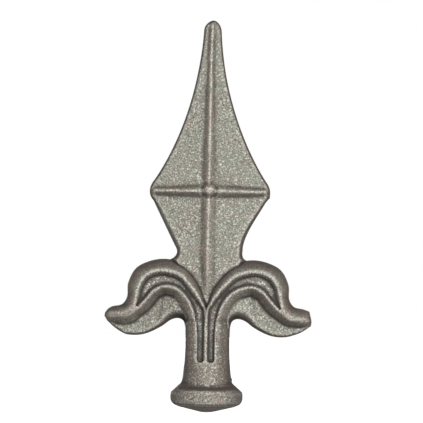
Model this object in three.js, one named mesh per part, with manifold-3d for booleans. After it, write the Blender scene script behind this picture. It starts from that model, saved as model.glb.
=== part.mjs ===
import * as THREE from "three";
import { mergeVertices } from "three/addons/utils/BufferGeometryUtils.js";
import Module from "manifold-3d";

const wasm = await Module();
wasm.setup();

// Forged steel fence spike, one piece, both faces alike.
// Sizes are in millimetres. X runs across the face, Y through the thickness and Z up the axis.
// The origin is the centre of the small flat at the bottom of the base, where the spike is
// welded onto its picket.

// Overall sizes
const TIP_Z = 140;
const AXIS_LEAN = 0.2;
const PARTING_LAND = 0.5;

// Stem and collar: height, half width at the sides, half depth at the front
const STEM_SEGMENTS = 44;
const STEM_RINGS = [
  [0.0, 2.0, 2.0],
  [1.95, 10.0, 10.0],
  [2.75, 11.8, 11.8],
  [3.7, 12.65, 12.7],
  [5.1, 12.95, 12.9],
  [6.6, 12.9, 12.8],
  [7.2, 12.65, 12.7],
  [8.15, 11.75, 12.3],
  [8.45, 11.4, 11.5],
  [9.0, 10.8, 10.0],
  [9.6, 10.05, 9.3],
  [10.6, 9.05, 9.15],
  [12.0, 8.75, 9.0],
  [14.5, 8.45, 8.75],
  [18.0, 8.1, 8.4],
  [22.0, 7.9, 8.2],
  [27.0, 7.9, 8.1],
  [31.0, 7.95, 7.9],
  [32.6, 7.75, 7.4],
  [34.2, 7.0, 6.5],
  [36.2, 4.6, 4.6],
];
// Below the leaves the round section turns into one with two straight cheeks on each face:
// heights between which they grow, and where they meet the face, as a share of half width
// and half depth together
const CHEEK_Z = [15, 21];
const CHEEK_SHOULDER = { left: 1.52, right: 1.43 };

// Blade outline, half widths against height
const BLADE_TIP = [0.7, 139.85];
const TIP_HANDLES = [[1.7, 139.4], [2.75, 138.2]];
const BLADE_SHOULDER = [3.0, 136.2];
const UPPER_FLANK_HANDLES = [[5.0, 105.0], [18.3, 84.9]];
const BLADE_CORNER_TOP = [20.4, 82.0];
const CORNER_HANDLES = [[21.9, 79.8], [22.0, 77.2]];
const BLADE_CORNER_BOTTOM = [20.1, 75.3];
const LOWER_FLANK = {
  left: { handles: [[17.3, 69.6], [14.4, 63.7]], neck: [11.6, 58.2] },
  right: { handles: [[16.8, 69.6], [12.4, 63.4]], neck: [12.05, 58.6] },
};
const NECK_FLARE = {
  left: { handles: [[11.1, 57.0], [11.5, 55.6]], end: [13.2, 54.6] },
  right: { handles: [[12.0, 57.0], [11.6, 55.6]], end: [12.9, 54.6] },
};
const OUTLINE_STEPS = { tip: 5, flank: 12, corner: 5, lower: 6, flare: 4 };
// Where the blade runs on inside the leaves, down to the point of the V
const BLADE_ROOT = [[11.6, 52.2], [7.2, 46.8], [3.4, 42.2], [1.4, 38.6]];

// Blade thickness: half thickness of the field beside the midrib, against height
const FIELD_HALF_THICKNESS = [[38, 4.2], [46, 3.6], [57, 3.2], [79, 2.7], [120, 2.1], [138, 1.7]];
const FIELD_FALL = 0.03;
const UPPER_BEVEL = 0.45;
const LOWER_BEVEL = 1.2;
const MOST_BEVEL_SHARE = 0.3;
// The nose of the blade: its thickness starts as a share of the full one at the tip and grows
// with the square root of the way down
const NOSE_THICKNESS_SHARE = 0.35;
const NOSE_GROWTH = 0.45;
const MIDRIB_X = [[38, -0.6], [68, -0.5], [94, -0.35], [127, -0.3], [138, -0.05]];
const MIDRIB_HALF_WIDTH = [[40, 0.7], [46, 1.4], [57, 2.4], [94, 2.15], [112, 1.6], [138, 1.0]];
const MOST_MIDRIB_SHARE = 0.45;
const MIDRIB_RISE = [[38, 0.3], [46, 0.8], [57, 1.3], [68, 1.5], [94, 1.6], [127, 1.1], [138, 0.8]];
const CROSS_RIB_Z = 78.8;
const CROSS_RIB_REACH = 20.4;
const CROSS_RIB_HALF_WIDTH = { middle: 2.3, ends: 1.4 };
const CROSS_RIB_RISE = { middle: 1.7, ends: 0.85 };
const CROSS_RIB_FALL_POWER = 6;
const CROSS_RIB_SINK = 0.3;
const CROSS_RIB_STEPS = 10;
const BOSS_X = 0;
const BOSS_Z = 79.35;
const BOSS_RADIUS = 2.5;
const BOSS_RISE = 0.8;
const BOSS_SEGMENTS = { round: 16, upright: 10 };

// Leaf lines, from the root in the stem over the arch to the nose of the curled tip.
// They are drawn for the right leaf as (distance from the axis, height), and every line has
// its points at the same stations, so that the stations run straight across the leaf.
const RIM_LINE = [
  [-1.1, 28], [-1.0, 35], [0.1, 39], [1.6, 45], [8, 52.4], [16.6, 54.5],
  [25, 51.8], [28.55, 46.2], [28.95, 40.9], [30.8, 38.05], [34, 37.3],
];
const CREST_LINE = [
  [0, 28], [0, 35.5], [1.35, 39.5], [4.8, 44.4], [9.9, 49.15], [16.8, 50.75],
  [22.3, 49], [25, 45], [25.95, 40.8],
];
const INNER_LINE = [
  [3.8, 28], [4.6, 34.5], [6.2, 38.9], [8.55, 42.0], [11.65, 44.05], [15.6, 44.75],
  [19.1, 43.2], [21.3, 40.8], [23.5, 38.3],
];
const LOWER_LINE = [
  [6.4, 27], [7.95, 30.6], [8.8, 32.6], [10.7, 33.4], [13.3, 32.7], [16.5, 30.4],
  [20.3, 28.4], [23.6, 27.35], [27, 27.15], [30, 27.72],
];
// The two noses differ: the last points of the four lines
const NOSE = {
  left: {
    rim: [[35.7, 36.4]],
    crest: [[26.9, 37.4], [29.8, 35.2], [36.8, 34.9]],
    inner: [[25.7, 36.3], [29.3, 34.2], [37.0, 33.9]],
    lower: [[33.4, 29.85], [36.2, 32.3]],
  },
  right: {
    rim: [[36.3, 36.5]],
    crest: [[27.1, 36.9], [30.4, 34.3], [36.95, 33.7]],
    inner: [[26.2, 35.8], [29.8, 33.4], [37.1, 32.9]],
    lower: [[33.5, 29.05], [36.9, 31.3]],
  },
};
// Below the V the carving is set a little to the left of the axis
const CARVING_OFFSET = -0.62;
const CARVING_OFFSET_SHARE = [1, 1, 1, 0.8, 0.15, 0, 0, 0, 0, 0, 0, 0];
const SLOPE_WIDTH = [0.8, 1.6, 2.4, 2.9, 3, 3.1, 3, 3, 3, 2.9, 2.4, 0.4];
const WEB_EDGE_WIDTH = [0.3, 0.5, 2.0, 3.0, 2.7, 1.5, 1.1, 0.9, 0.8, 0.7, 0.7, 0.25];
const WEB_FALL = 0.15;

// Leaf half thicknesses at the same stations
const RIM_HEIGHT = [5.4, 5.4, 4.8, 2.4, 1.4, 0.5, 0.5, 0.5, 0.5, 0.5, 0.5, 0.5];
const CREST_HEIGHT = [7.1, 7.9, 7.7, 6.9, 6.2, 5.8, 5.6, 5.4, 5.2, 4.9, 4.3, 3.2];
const INNER_HEIGHT = [5.4, 6.8, 7.0, 6.4, 5.7, 5.4, 5.2, 5.0, 4.9, 4.7, 4.1, 3.0];
const WEB_HEIGHT = [2.8, 4.2, 4.4, 4.2, 3.4, 2.5, 2.1, 1.9, 1.8, 1.8, 1.6, 1.3];
const LEAF_STEPS_PER_STATION = 3;
const NOSE_LENGTH = 0.6;
const NOSE_STEPS = 5;
// Slopes bulge: points at these shares of the way down, and the power of the fall
const RIM_SHARES = [0.7, 0.4, 0.15];
const RIM_POWER = 1.5;
const SLOPE_SHARES = [0.2, 0.5];
const SLOPE_POWER = 1.45;
const EDGE_SHARES = [0.5];
const EDGE_POWER = 1.5;

// Channels between crest and inner ridge. They run down into the stem to a round end and
// run out towards the nose of the leaf. Each wall starts at a margin beside its ridge.
const CHANNEL = {
  outer: { stemMargin: 0.4, leafMargin: 0.65, depth: 1.75, stemWall: 0.9, leafWall: 1.35 },
  inner: { stemMargin: 0.35, leafMargin: 0.35, depth: 1.4, stemWall: 0.7, leafWall: 0.85 },
};
const CHANNEL_WALL_STATIONS = [1, 3];
const CHANNEL_BOTTOM_Z = 17.8;
const CHANNEL_END_STEPS = 5;
const CHANNEL_STEM_ROWS = [21, 23, 25, 26.6];
const CHANNEL_NOSE_STATION = 8.95;
const CHANNEL_RUN_OUT = 0.7;
const CHANNEL_LEAST_FLOOR = 0.15;
const CHANNEL_LEAST_DEPTH_SHARE = 0.05;

// Linear value from a short list of [key, value] pairs in rising order of key
function valueAt(pairs, key) {
  if (key <= pairs[0][0]) {
    return pairs[0][1];
  }
  for (let i = 1; i < pairs.length; i += 1) {
    const [k0, v0] = pairs[i - 1];
    const [k1, v1] = pairs[i];
    if (key <= k1) {
      return v0 + ((v1 - v0) * (key - k0)) / (k1 - k0);
    }
  }
  return pairs[pairs.length - 1][1];
}

function pointsToVectors(points) {
  return points.map(([x, z]) => new THREE.Vector2(x, z));
}

function bezier(start, handles, end) {
  return new THREE.CubicBezierCurve(...pointsToVectors([start, ...handles, end]));
}

// Smooth value of a station list at a fractional station
function stationValue(values, station) {
  const curve = new THREE.SplineCurve(values.map((value, i) => new THREE.Vector2(i, value)));
  return curve.getPoint(station / (values.length - 1)).y;
}

function linePoint(line, station) {
  return new THREE.SplineCurve(pointsToVectors(line)).getPoint(station / (line.length - 1));
}

function lineNormal(line, station) {
  const tangent = new THREE.SplineCurve(pointsToVectors(line)).getTangent(
    station / (line.length - 1),
  );
  return new THREE.Vector2(-tangent.y, tangent.x);
}

// A closed indexed geometry, turned so that its faces point out
function closedGeometry(positions, triangles) {
  let volume = 0;
  const corner = (index) => new THREE.Vector3().fromArray(positions, index * 3);
  for (const [a, b, c] of triangles) {
    volume += corner(a).dot(corner(b).cross(corner(c)));
  }
  const index = triangles.flatMap(([a, b, c]) => (volume > 0 ? [a, b, c] : [a, c, b]));
  const geometry = new THREE.BufferGeometry();
  geometry.setAttribute("position", new THREE.Float32BufferAttribute(positions, 3));
  geometry.setIndex(index);
  return geometry;
}

// A relief is a grid of points, each with its place on the face and its half thickness. The
// same surface is laid on the front and on the back, and a narrow wall joins them all round.
function reliefGeometry(rows) {
  const rowCount = rows.length;
  const columnCount = rows[0].length;
  const positions = [];
  for (const side of [-1, 1]) {
    for (const row of rows) {
      for (const point of row) {
        positions.push(point.x, side * point.half, point.z);
      }
    }
  }
  const front = (row, column) => row * columnCount + column;
  const back = (row, column) => rowCount * columnCount + front(row, column);
  const triangles = [];
  for (let r = 0; r + 1 < rowCount; r += 1) {
    for (let c = 0; c + 1 < columnCount; c += 1) {
      triangles.push([front(r, c), front(r, c + 1), front(r + 1, c + 1)]);
      triangles.push([front(r, c), front(r + 1, c + 1), front(r + 1, c)]);
      triangles.push([back(r, c), back(r + 1, c + 1), back(r, c + 1)]);
      triangles.push([back(r, c), back(r + 1, c), back(r + 1, c + 1)]);
    }
  }
  const border = [];
  for (let c = 0; c + 1 < columnCount; c += 1) {
    border.push([0, c]);
  }
  for (let r = 0; r + 1 < rowCount; r += 1) {
    border.push([r, columnCount - 1]);
  }
  for (let c = columnCount - 1; c > 0; c -= 1) {
    border.push([rowCount - 1, c]);
  }
  for (let r = rowCount - 1; r > 0; r -= 1) {
    border.push([r, 0]);
  }
  border.forEach(([r0, c0], i) => {
    const [r1, c1] = border[(i + 1) % border.length];
    triangles.push([front(r1, c1), front(r0, c0), back(r0, c0)]);
    triangles.push([front(r1, c1), back(r0, c0), back(r1, c1)]);
  });
  return closedGeometry(positions, triangles);
}

// Rings of equally many points, one above the other, with flat ends
function ringGeometry(rings) {
  const count = rings[0].length;
  const positions = rings.flat().flatMap((point) => point.toArray());
  const triangles = [];
  for (let r = 0; r + 1 < rings.length; r += 1) {
    for (let i = 0; i < count; i += 1) {
      const a = r * count + i;
      const b = r * count + ((i + 1) % count);
      triangles.push([a, b, b + count]);
      triangles.push([a, b + count, a + count]);
    }
  }
  const last = (rings.length - 1) * count;
  for (let i = 1; i + 1 < count; i += 1) {
    triangles.push([0, i + 1, i]);
    triangles.push([last, last + i, last + i + 1]);
  }
  return closedGeometry(positions, triangles);
}

function toSolid(geometry) {
  return new wasm.Manifold(
    new wasm.Mesh({
      numProp: 3,
      vertProperties: new Float32Array(geometry.attributes.position.array),
      triVerts: new Uint32Array(geometry.index.array),
    }),
  );
}

function toGeometry(solid) {
  const mesh = solid.getMesh();
  const geometry = new THREE.BufferGeometry();
  geometry.setAttribute("position", new THREE.BufferAttribute(mesh.vertProperties, 3));
  geometry.setIndex(new THREE.BufferAttribute(mesh.triVerts, 1));
  return geometry;
}

function cheekShare(z) {
  return THREE.MathUtils.clamp((z - CHEEK_Z[0]) / (CHEEK_Z[1] - CHEEK_Z[0]), 0, 1);
}

function cheekShoulder(x) {
  return x < 0 ? CHEEK_SHOULDER.left : CHEEK_SHOULDER.right;
}

// Stem: shallow cone, round collar, sloping shoulder and slightly flared shank
function stem() {
  const rings = STEM_RINGS.map(([z, halfWidth, halfDepth]) =>
    Array.from({ length: STEM_SEGMENTS }, (unused, i) => {
      const angle = (2 * Math.PI * i) / STEM_SEGMENTS;
      const across = Math.abs(Math.cos(angle));
      const out = Math.abs(Math.sin(angle));
      const cheek = (across + out) / cheekShoulder(Math.cos(angle));
      const reach = 1 / Math.max(across, out, cheek);
      const radius = THREE.MathUtils.lerp(1, reach, cheekShare(z));
      return new THREE.Vector3(
        halfWidth * radius * Math.cos(angle),
        halfDepth * radius * Math.sin(angle),
        z,
      );
    }),
  );
  return toSolid(ringGeometry(rings));
}

// Half thickness of the stem at a place on the face
function stemHeight(x, z) {
  const halfWidth = valueAt(STEM_RINGS.map((ring) => [ring[0], ring[1]]), z);
  const halfDepth = valueAt(STEM_RINGS.map((ring) => [ring[0], ring[2]]), z);
  const across = Math.min(1, Math.abs(x) / halfWidth);
  const round = Math.sqrt(1 - across ** 2);
  const block = Math.min(1, cheekShoulder(x) - across);
  const height = halfDepth * THREE.MathUtils.lerp(round, block, cheekShare(z));
  return z > STEM_RINGS[STEM_RINGS.length - 1][0] ? 0 : height;
}

// One side of the blade outline, from the tip down to the point of the V
function bladeOutline(side) {
  const lower = LOWER_FLANK[side];
  const flare = NECK_FLARE[side];
  const stretches = [
    [bezier(BLADE_TIP, TIP_HANDLES, BLADE_SHOULDER), OUTLINE_STEPS.tip],
    [bezier(BLADE_SHOULDER, UPPER_FLANK_HANDLES, BLADE_CORNER_TOP), OUTLINE_STEPS.flank],
    [bezier(BLADE_CORNER_TOP, CORNER_HANDLES, BLADE_CORNER_BOTTOM), OUTLINE_STEPS.corner],
    [bezier(BLADE_CORNER_BOTTOM, lower.handles, lower.neck), OUTLINE_STEPS.lower],
    [bezier(lower.neck, flare.handles, flare.end), OUTLINE_STEPS.flare],
  ];
  const points = [new THREE.Vector2(...BLADE_TIP)];
  for (const [curve, steps] of stretches) {
    points.push(...curve.getPoints(steps).slice(1));
  }
  points.push(...pointsToVectors(BLADE_ROOT));
  return points;
}

function fieldHalfThickness(z, distance) {
  return valueAt(FIELD_HALF_THICKNESS, z) - FIELD_FALL * distance;
}

// Blade: two flat fields on each face, a midrib, and edges beveled down to the parting line
function blade() {
  const left = bladeOutline("left");
  const right = bladeOutline("right");
  const lines = [];
  left.forEach((leftPoint, i) => {
    const rightPoint = right[i];
    const z = (leftPoint.y + rightPoint.y) / 2;
    const nose = Math.min(1, NOSE_THICKNESS_SHARE + NOSE_GROWTH * Math.sqrt(TIP_Z - z));
    const lean = AXIS_LEAN * (z > BLADE_SHOULDER[1] ? 1 : 0);
    const crestX = valueAt(MIDRIB_X, z);
    const bevel = z > CROSS_RIB_Z ? UPPER_BEVEL : LOWER_BEVEL;
    const section = [];
    for (const [point, sign] of [[leftPoint, -1], [rightPoint, 1]]) {
      const half = point.x;
      const foot = Math.min(valueAt(MIDRIB_HALF_WIDTH, z), MOST_MIDRIB_SHARE * half);
      const edge = half - Math.min(bevel, MOST_BEVEL_SHARE * half);
      section.push([
        { x: lean + sign * half, z: point.y, half: PARTING_LAND },
        { x: lean + sign * edge, z: point.y, half: nose * fieldHalfThickness(z, edge) },
        { x: crestX + sign * foot, z, half: nose * fieldHalfThickness(z, foot) },
      ]);
    }
    const crest = nose * (fieldHalfThickness(z, 0) + valueAt(MIDRIB_RISE, z));
    lines.push([...section[0], { x: crestX, z, half: crest }, ...section[1].reverse()]);
  });
  return toSolid(reliefGeometry(lines));
}

// Cross rib: a low ridge from corner to corner of the blade
function crossRib() {
  const rows = [-1, 0, 1].map((row) =>
    Array.from({ length: CROSS_RIB_STEPS + 1 }, (unused, i) => {
      const x = CROSS_RIB_REACH * ((2 * i) / CROSS_RIB_STEPS - 1);
      const reach = Math.abs(x) / CROSS_RIB_REACH;
      const fall = reach ** CROSS_RIB_FALL_POWER;
      const crest = THREE.MathUtils.lerp(CROSS_RIB_RISE.middle, CROSS_RIB_RISE.ends, fall);
      const width = THREE.MathUtils.lerp(
        CROSS_RIB_HALF_WIDTH.middle,
        CROSS_RIB_HALF_WIDTH.ends,
        reach,
      );
      const rise = row === 0 ? crest : -CROSS_RIB_SINK;
      const half = fieldHalfThickness(CROSS_RIB_Z, Math.abs(x)) + rise;
      return { x, z: CROSS_RIB_Z + row * width, half };
    }),
  );
  return toSolid(reliefGeometry(rows));
}

// Boss: a small dome where the two ribs cross
function boss() {
  const ribs = fieldHalfThickness(BOSS_Z, 0) + valueAt(MIDRIB_RISE, BOSS_Z);
  const depth = ribs + BOSS_RISE;
  const sphere = new THREE.SphereGeometry(1, BOSS_SEGMENTS.round, BOSS_SEGMENTS.upright);
  sphere.deleteAttribute("normal");
  sphere.deleteAttribute("uv");
  const dome = mergeVertices(sphere);
  dome.scale(BOSS_RADIUS, depth, BOSS_RADIUS);
  dome.translate(BOSS_X, 0, BOSS_Z);
  return toSolid(dome);
}

function leafLines(side) {
  const nose = NOSE[side];
  return {
    rim: [...RIM_LINE, ...nose.rim],
    crest: [...CREST_LINE, ...nose.crest],
    inner: [...INNER_LINE, ...nose.inner],
    lower: [...LOWER_LINE, ...nose.lower],
  };
}

function carvingShift(station) {
  return CARVING_OFFSET * stationValue(CARVING_OFFSET_SHARE, station);
}

// Points between a ridge and its foot: level at the ridge, steepest at the foot
function bulging(ridge, foot, shares, power) {
  return shares.map((share) => [
    ridge[0].clone().lerp(foot[0], share),
    THREE.MathUtils.lerp(foot[1], ridge[1], 1 - share ** power),
    THREE.MathUtils.lerp(ridge[2], foot[2], share),
  ]);
}

// Points across the leaf at one station: rim, ridge, second ridge, slope, web and its edge
function leafSection(side, station) {
  const sign = side === "left" ? -1 : 1;
  const lines = leafLines(side);
  const shift = carvingShift(station);
  const last = lines.rim.length - 1;
  const innerPoint = linePoint(lines.inner, station);
  const lowerPoint = linePoint(lines.lower, station);
  const slopeWidth = stationValue(SLOPE_WIDTH, station);
  const webWidth = stationValue(WEB_EDGE_WIDTH, station);
  const webHeight = stationValue(WEB_HEIGHT, station);
  const footPoint = innerPoint.clone().addScaledVector(lineNormal(lines.inner, station), -slopeWidth);
  const webPoint = lowerPoint.clone().addScaledVector(lineNormal(lines.lower, station), webWidth);
  const rim = [linePoint(lines.rim, station), stationValue(RIM_HEIGHT, station), shift];
  const crest = [linePoint(lines.crest, station), stationValue(CREST_HEIGHT, station), shift];
  const inner = [innerPoint, stationValue(INNER_HEIGHT, station), shift];
  const foot = [footPoint, webHeight, shift];
  const web = [webPoint, webHeight - WEB_FALL, 0];
  const lower = [lowerPoint, PARTING_LAND, 0];
  const fromNose = Math.min(1, (last - station) / NOSE_LENGTH);
  const roundOff = Math.sqrt(1 - (1 - fromNose) ** 2);
  const section = [
    rim,
    ...bulging(crest, rim, RIM_SHARES, RIM_POWER),
    crest,
    inner,
    ...bulging(inner, foot, SLOPE_SHARES, SLOPE_POWER),
    foot,
    web,
    ...bulging(web, lower, EDGE_SHARES, EDGE_POWER),
    lower,
  ];
  return section.map(([point, half, offset]) => ({
    x: sign * point.x + offset,
    z: point.y,
    half: PARTING_LAND + (half - PARTING_LAND) * roundOff,
  }));
}

// Leaf: its sections along the arch, closer together where the nose rounds off
function leaf(side) {
  const last = leafLines(side).rim.length - 1;
  const bodySteps = Math.round((last - 1) * LEAF_STEPS_PER_STATION);
  const stations = [];
  for (let i = 0; i <= bodySteps; i += 1) {
    stations.push((i * (last - NOSE_LENGTH)) / bodySteps);
  }
  for (let i = 1; i <= NOSE_STEPS; i += 1) {
    stations.push(last - NOSE_LENGTH * Math.cos((0.5 * Math.PI * i) / NOSE_STEPS));
  }
  return toSolid(reliefGeometry(stations.map((station) => leafSection(side, station))));
}

// How far the channel has turned from its form in the stem to its form in the leaf
function channelLeafShare(station) {
  const [stemStation, leafStation] = CHANNEL_WALL_STATIONS;
  return THREE.MathUtils.smoothstep(station, stemStation, leafStation);
}

// Edges of a channel in the leaf: places on the face and the height of the surface there
function leafChannelEdges(side, station) {
  const sign = side === "left" ? -1 : 1;
  const lines = leafLines(side);
  const crest = linePoint(lines.crest, station);
  const inner = linePoint(lines.inner, station);
  const width = crest.distanceTo(inner);
  const edge = (share) => {
    const point = crest.clone().lerp(inner, share);
    const x = sign * point.x + carvingShift(station);
    const crestHeight = stationValue(CREST_HEIGHT, station);
    const innerHeight = stationValue(INNER_HEIGHT, station);
    const leafHeight = THREE.MathUtils.lerp(crestHeight, innerHeight, share);
    const ridge = Math.max(leafHeight, stemHeight(x, point.y));
    return { point: new THREE.Vector2(x, point.y), ridge };
  };
  const margin = ({ stemMargin, leafMargin }) =>
    THREE.MathUtils.lerp(stemMargin, leafMargin, channelLeafShare(station));
  const outerShare = margin(CHANNEL.outer) / width;
  const innerShare = 1 - margin(CHANNEL.inner) / width;
  return { outer: edge(outerShare), inner: edge(innerShare) };
}

// The same in the stem, where the channel runs straight down from the root of the leaf
function stemChannelEdges(side, z, widthShare) {
  const root = leafChannelEdges(side, 0);
  const middle = (root.outer.point.x + root.inner.point.x) / 2;
  const edge = (point) => {
    const x = THREE.MathUtils.lerp(middle, point.x, widthShare);
    return { point: new THREE.Vector2(x, z), ridge: stemHeight(x, z) };
  };
  return { outer: edge(root.outer.point), inner: edge(root.inner.point) };
}

// One section of a channel cutter: its walls run on above the edges, into the air
function channelSection(faceSide, edges, depthShare, leafShare) {
  const across = edges.inner.point.clone().sub(edges.outer.point).normalize();
  const corner = (key, inward, height) => {
    const { point, ridge } = edges[key];
    const wall = THREE.MathUtils.lerp(CHANNEL[key].stemWall, CHANNEL[key].leafWall, leafShare);
    const toFloor = key === "outer" ? inward : -inward;
    const place = point.clone().addScaledVector(across, toFloor * wall * depthShare);
    return new THREE.Vector3(place.x, faceSide * (ridge + height), place.y);
  };
  return [
    corner("outer", -1, CHANNEL.outer.depth),
    corner("outer", 1, -CHANNEL.outer.depth * depthShare),
    corner("inner", 1, -CHANNEL.inner.depth * depthShare),
    corner("inner", -1, CHANNEL.inner.depth),
  ];
}

// How much of its full depth the channel has at a station of the leaf
function channelDepthShare(edges, station, leafShare) {
  const room = edges.outer.point.distanceTo(edges.inner.point) - CHANNEL_LEAST_FLOOR;
  const stemWalls = CHANNEL.outer.stemWall + CHANNEL.inner.stemWall;
  const leafWalls = CHANNEL.outer.leafWall + CHANNEL.inner.leafWall;
  const walls = THREE.MathUtils.lerp(stemWalls, leafWalls, leafShare);
  const runOut = (CHANNEL_NOSE_STATION - station) / CHANNEL_RUN_OUT;
  return THREE.MathUtils.clamp(Math.min(room / walls, runOut), CHANNEL_LEAST_DEPTH_SHARE, 1);
}

// Channel cutter, from the round end in the stem to the run-out before the nose of the leaf
function channel(side, faceSide) {
  const sections = [];
  const root = leafChannelEdges(side, 0);
  const radius = root.outer.point.distanceTo(root.inner.point) / 2;
  for (let i = 1; i <= CHANNEL_END_STEPS; i += 1) {
    const angle = (0.5 * Math.PI * i) / CHANNEL_END_STEPS;
    const rise = radius * (1 - Math.cos(angle));
    const edges = stemChannelEdges(side, CHANNEL_BOTTOM_Z + rise, Math.sin(angle));
    const depthShare = Math.min(1, rise / CHANNEL.outer.stemWall);
    sections.push(channelSection(faceSide, edges, depthShare, 0));
  }
  for (const z of CHANNEL_STEM_ROWS) {
    sections.push(channelSection(faceSide, stemChannelEdges(side, z, 1), 1, 0));
  }
  const steps = Math.ceil(CHANNEL_NOSE_STATION * LEAF_STEPS_PER_STATION);
  for (let i = 0; i <= steps; i += 1) {
    const station = (CHANNEL_NOSE_STATION * i) / steps;
    const edges = leafChannelEdges(side, station);
    const leafShare = channelLeafShare(station);
    const depthShare = channelDepthShare(edges, station, leafShare);
    sections.push(channelSection(faceSide, edges, depthShare, leafShare));
  }
  return toSolid(ringGeometry(sections));
}

// The whole forging
function spike() {
  let solid = stem();
  for (const body of [blade(), crossRib(), boss(), leaf("left"), leaf("right")]) {
    solid = solid.add(body);
  }
  for (const side of ["left", "right"]) {
    for (const faceSide of [-1, 1]) {
      solid = solid.subtract(channel(side, faceSide));
    }
  }
  return toGeometry(solid);
}

const greySteel = new THREE.MeshStandardMaterial({
  color: 0x8d8a81,
  roughness: 0.6,
  metalness: 0.9,
});

const spikeMesh = new THREE.Mesh(spike(), greySteel);
spikeMesh.name = "fence_spike";

const part = new THREE.Group();
part.add(spikeMesh);

export default part;
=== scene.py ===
import math

import bpy
import numpy as np
from mathutils import Matrix, Vector


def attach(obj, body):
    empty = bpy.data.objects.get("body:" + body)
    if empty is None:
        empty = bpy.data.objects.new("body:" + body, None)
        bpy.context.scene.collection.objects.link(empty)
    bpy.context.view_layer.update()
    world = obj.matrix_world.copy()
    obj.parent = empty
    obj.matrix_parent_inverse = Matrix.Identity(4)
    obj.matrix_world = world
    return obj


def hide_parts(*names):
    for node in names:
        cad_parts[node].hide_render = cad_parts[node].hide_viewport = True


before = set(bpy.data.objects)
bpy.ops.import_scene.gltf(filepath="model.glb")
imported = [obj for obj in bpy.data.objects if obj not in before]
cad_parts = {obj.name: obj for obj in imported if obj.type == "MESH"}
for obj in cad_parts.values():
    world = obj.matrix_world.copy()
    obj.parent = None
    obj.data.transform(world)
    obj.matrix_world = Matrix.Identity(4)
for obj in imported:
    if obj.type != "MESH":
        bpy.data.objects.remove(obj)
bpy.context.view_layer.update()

# Forged fence spike. Lengths are in millimetres until the mesh and the camera are made, in metres.
# X runs across the face, Y through the thickness and Z up the axis, as in the frame.
# Where left and right differ, -1 is the side to the left of the axis and 1 the side to the right.
MM = 0.001

# Overall sizes. Between the two heights the axis of the point leans to one side.
TIP_Z = 140.0
AXIS_LEAN = 0.2
LEAN_Z = (120, 136)
PARTING_LAND = 0.5

# Stem and collar: height, half width at the sides, half depth at the front
STEM_RINGS = [
    (0.0, 2.0, 2.0),
    (1.95, 10.0, 10.0),
    (2.75, 11.8, 11.8),
    (3.7, 12.65, 12.75),
    (4.6, 12.9, 12.95),
    (5.4, 12.95, 12.95),
    (6.6, 12.9, 12.85),
    (7.2, 12.65, 12.75),
    (7.8, 12.15, 12.6),
    (8.15, 11.75, 12.3),
    (8.45, 11.4, 11.5),
    (8.8, 11.0, 10.4),
    (9.15, 10.6, 9.65),
    (9.6, 10.05, 9.3),
    (10.0, 9.6, 9.2),
    (10.6, 9.05, 9.15),
    (12.0, 8.75, 9.0),
    (14.5, 8.45, 8.75),
    (18.0, 8.1, 8.4),
    (22.0, 7.9, 8.2),
    (27.0, 7.9, 8.1),
    (30.0, 7.95, 8.0),
    (32.0, 7.8, 7.7),
    (34.0, 7.2, 7.1),
    (36.0, 6.0, 6.2),
    (38.0, 4.0, 5.0),
]
RING_Z, RING_WIDTH, RING_DEPTH = np.array(STEM_RINGS).T
# Below the leaves the round section gets two straight cheeks on each face: heights between
# which they grow, the shoulder as a share of both half sizes, and its rounding
CHEEK_Z = (15.0, 21.0)
CHEEK_SHOULDER = {-1: 1.52, 1: 1.43}
CHEEK_ROUNDING = 1.8

# Blade outline, half widths against height
BLADE_TIP = {
    -1: [(0.9, 139.75), (1.9, 139.2), (3.25, 138.2), (3.3, 136.2)],
    1: [(0.7, 139.85), (1.7, 139.4), (2.75, 138.2), (3.0, 136.2)],
}
UPPER_FLANK = {
    -1: [(3.3, 136.2), (4.85, 105.0), (18.3, 84.9), (20.4, 82.0)],
    1: [(3.0, 136.2), (5.0, 105.0), (18.3, 84.9), (20.4, 82.0)],
}
CORNER = [(20.4, 82.0), (21.9, 79.8), (22.0, 77.2), (20.1, 75.3)]
LOWER_FLANK = {
    -1: [(20.1, 75.3), (17.3, 69.6), (14.4, 63.7), (11.6, 58.2)],
    1: [(20.1, 75.3), (16.8, 69.6), (12.4, 63.4), (12.05, 58.6)],
}
NECK_FLARE = {
    -1: [(11.6, 58.2), (11.1, 57.0), (11.5, 55.6), (13.2, 54.6)],
    1: [(12.05, 58.6), (12.0, 57.0), (11.6, 55.6), (12.9, 54.6)],
}
BLADE_ROOT = [(11.6, 52.2), (7.2, 46.8), (3.4, 42.2), (1.4, 38.6), (0.8, 36.0)]
# How many points are drawn along each curve of the outline
CURVE_POINTS = {"tip": 40, "upper": 120, "corner": 40, "lower": 60, "neck": 30}

# Blade thickness: half thickness of the field beside the midrib, against height, and how much
# it falls with each millimetre from the axis
FIELD_HALF_THICKNESS = [
    (36, 6.4), (39, 5.1), (42, 4.2), (46, 3.65), (57, 3.1), (78.3, 2.5), (79.7, 2.85),
    (120, 2.1), (138, 1.7),
]
FIELD_FALL = 0.03
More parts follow.
